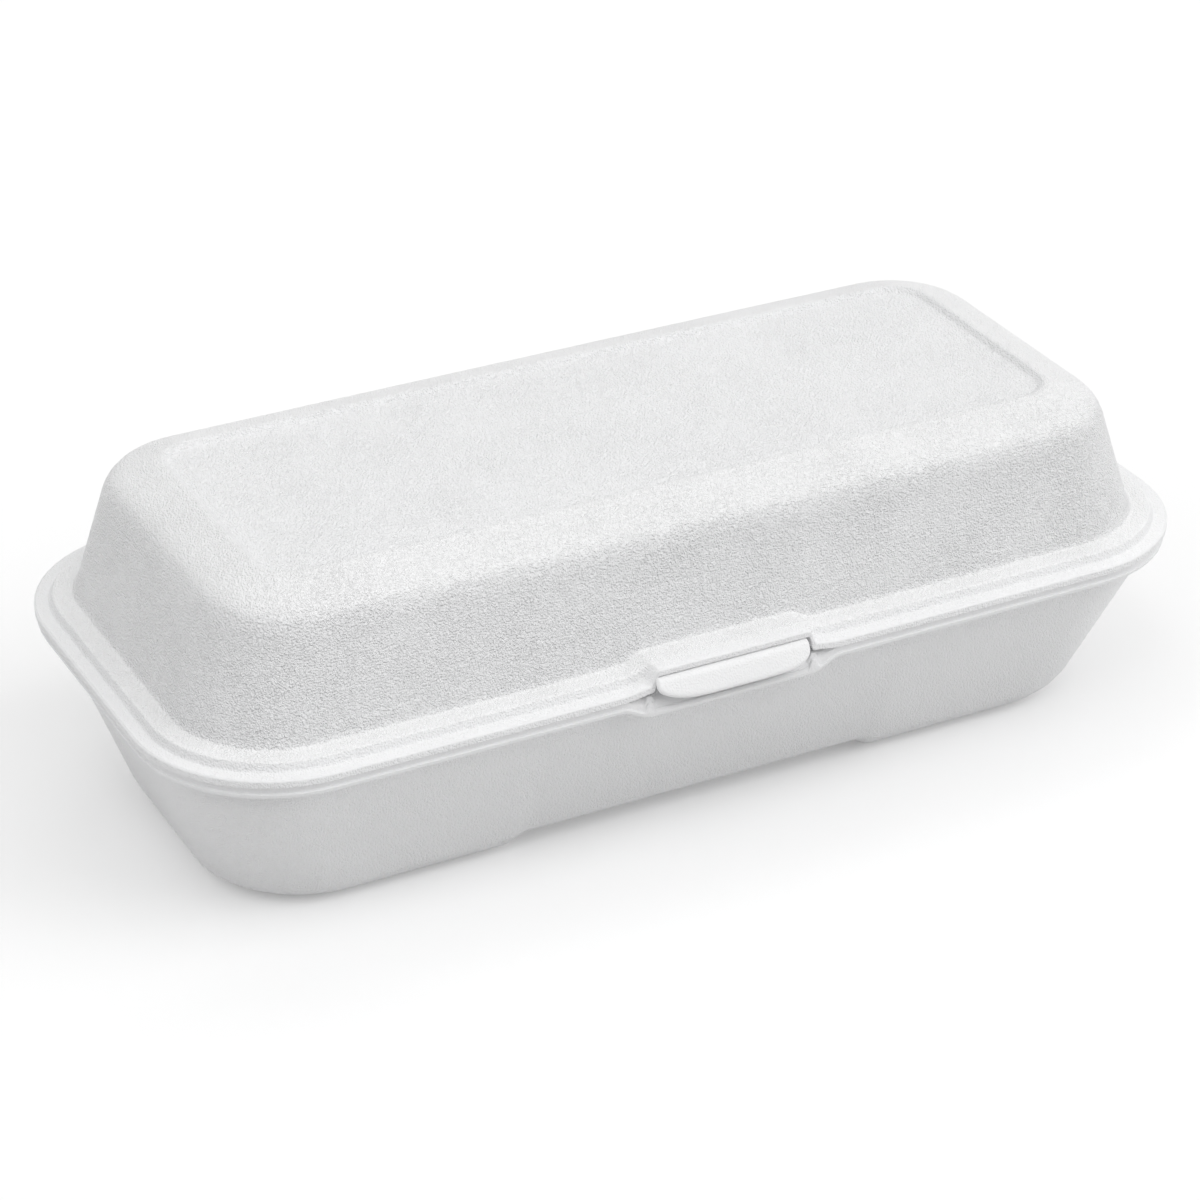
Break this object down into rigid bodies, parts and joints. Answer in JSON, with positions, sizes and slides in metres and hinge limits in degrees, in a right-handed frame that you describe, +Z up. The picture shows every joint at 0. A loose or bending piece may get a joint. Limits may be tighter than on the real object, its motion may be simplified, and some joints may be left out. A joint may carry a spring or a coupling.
{
  "type": "foam clamshell container",
  "caption": "Long foam food container with a domed lid on a creased hinge and a tongue latch at the front.",
  "frame": {"origin": "on the floor, below the middle of the rim", "axes": "+X along the container, -Y towards the latch, +Z up"},
  "size_m": [0.248, 0.1195, 0.0776],
  "materials": {
    "foam_base": "white foam, fine orange-peel skin",
    "foam_lid": "white foam, fine orange-peel skin",
    "foam_hinge": "white foam, creased"
  },
  "bodies": {
    "base": {"base": "foam_base", "hinge_strip": "foam_hinge"},
    "lid": {"lid": "foam_lid"}
  },
  "joints": [
    {"name": "lid_hinge", "type": "hinge", "parent": "base", "child": "lid", "pos_m": [0, 0.0597, 0.04285], "axis": [-1, 0, 0], "range_deg": [0, 180], "deforming": ["hinge_strip"]}
  ]
}
